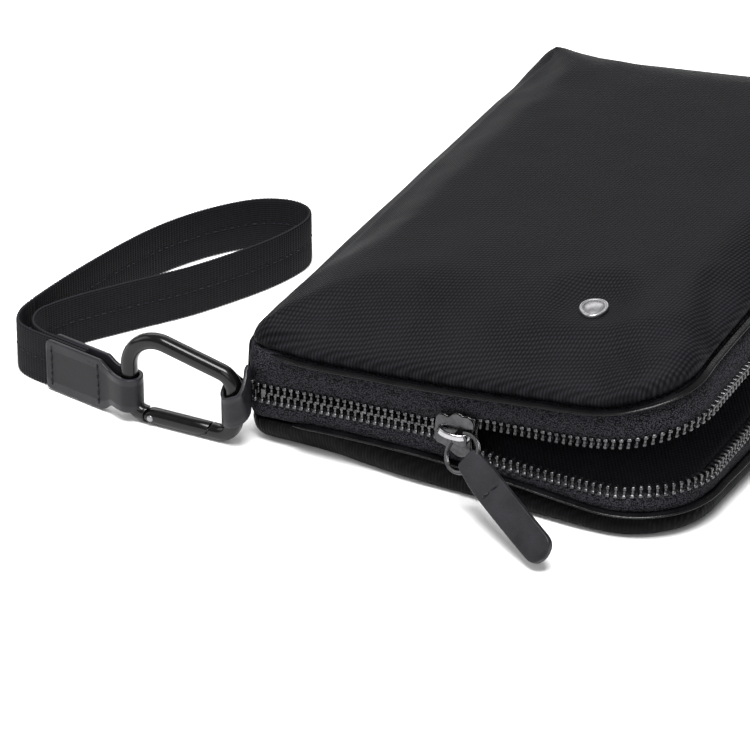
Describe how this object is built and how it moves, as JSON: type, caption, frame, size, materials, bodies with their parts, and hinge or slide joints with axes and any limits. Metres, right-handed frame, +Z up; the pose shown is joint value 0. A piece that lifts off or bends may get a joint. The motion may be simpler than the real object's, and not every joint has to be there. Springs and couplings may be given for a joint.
{
  "type": "zippered pouch",
  "caption": "Padded zip-around fabric pouch, half open, with a metal zip, leather pull and a webbing wrist strap on a carabiner.",
  "frame": {"origin": "the middle of the face the pouch rests on", "axes": "+Z up; +X from the spine to the opening side; +Y along the spine, away from the closed end of the zip"},
  "size_m": [0.2464, 0.2696, 0.0592],
  "materials": {
    "twill": "padded black nylon twill with a soft sheen",
    "lining": "plain black woven lining",
    "foam": "soft grey padding foam",
    "piping_leather": "smooth black leather binding",
    "zip_tape": "black ribbed knit zip tape",
    "teeth_metal": "polished gunmetal",
    "slider_metal": "bright gunmetal plating",
    "badge_metal": "bright polished metal",
    "leather": "black grained leather with bare edges",
    "thread": "black waxed thread",
    "black_metal": "gloss black coating over aluminium",
    "pin_steel": "bare steel",
    "webbing": "black ribbed nylon webbing"
  },
  "bodies": {
    "base": {"bottom_panel": "twill", "bottom_foam": "foam", "bottom_lining": "lining", "bottom_piping": "piping_leather", "spine_panel": "twill", "lower_zip_tape": "zip_tape", "lower_teeth": "teeth_metal", "zip_bottom_stop": "teeth_metal", "lower_end_stops": "teeth_metal", "strap_loop": "leather"},
    "cover": {"top_panel": "twill", "top_foam": "foam", "top_lining": "lining", "top_piping": "piping_leather", "upper_zip_tape": "zip_tape", "upper_teeth": "teeth_metal", "upper_end_stop": "teeth_metal", "badge": "badge_metal", "badge_back_plate": "pin_steel"},
    "slider": {"slider_body": "slider_metal", "slider_bridge": "slider_metal"},
    "ring": {"pull_ring": "slider_metal"},
    "pull": {"pull_tab": "leather", "pull_tab_stitching": "thread"},
    "carabiner": {"carabiner_frame": "black_metal", "gate_pin": "pin_steel"},
    "gate": {"gate": "black_metal", "gate_spring": "pin_steel"},
    "strap": {"strap_tab": "leather", "strap_tab_stitching": "thread", "strap_webbing": "webbing"}
  },
  "joints": [
    {"name": "cover_hinge", "type": "hinge", "parent": "base", "child": "cover", "pos_m": [-0.078, 0, 0.0334], "axis": [0, -1, 0], "range_deg": [0, 105]},
    {"name": "slider_slide", "type": "slide", "parent": "base", "child": "slider", "axis": [1, 0, 0], "range_m": [-0.06, 0], "deforming": ["lower_teeth", "upper_teeth"]},
    {"name": "ring_swivel", "type": "hinge", "parent": "slider", "child": "ring", "pos_m": [0, -0.1195, 0.021], "axis": [0, 0, 1], "range_deg": [-75, 0]},
    {"name": "pull_hinge", "type": "hinge", "parent": "ring", "child": "pull", "pos_m": [0.0103, -0.12593, 0.01763], "axis": [0.5048, 0.4105, 0.7593], "range_deg": [-70, 25]},
    {"name": "carabiner_swivel", "type": "hinge", "parent": "base", "child": "carabiner", "pos_m": [-0.0775, -0.12, 0.0155], "axis": [0, 0, 1], "range_deg": [-4, 60]},
    {"name": "gate_hinge", "type": "hinge", "parent": "carabiner", "child": "gate", "pos_m": [-0.1076, -0.12, 0.00275], "axis": [0, -1, 0], "range_deg": [0, 25], "stiffness_Nm_per_rad": 0.02, "springref_deg": -34.38},
    {"name": "strap_swivel", "type": "hinge", "parent": "carabiner", "child": "strap", "pos_m": [-0.1162, -0.12, 0.0097], "axis": [0, 0, 1], "range_deg": [-6, 45]}
  ]
}
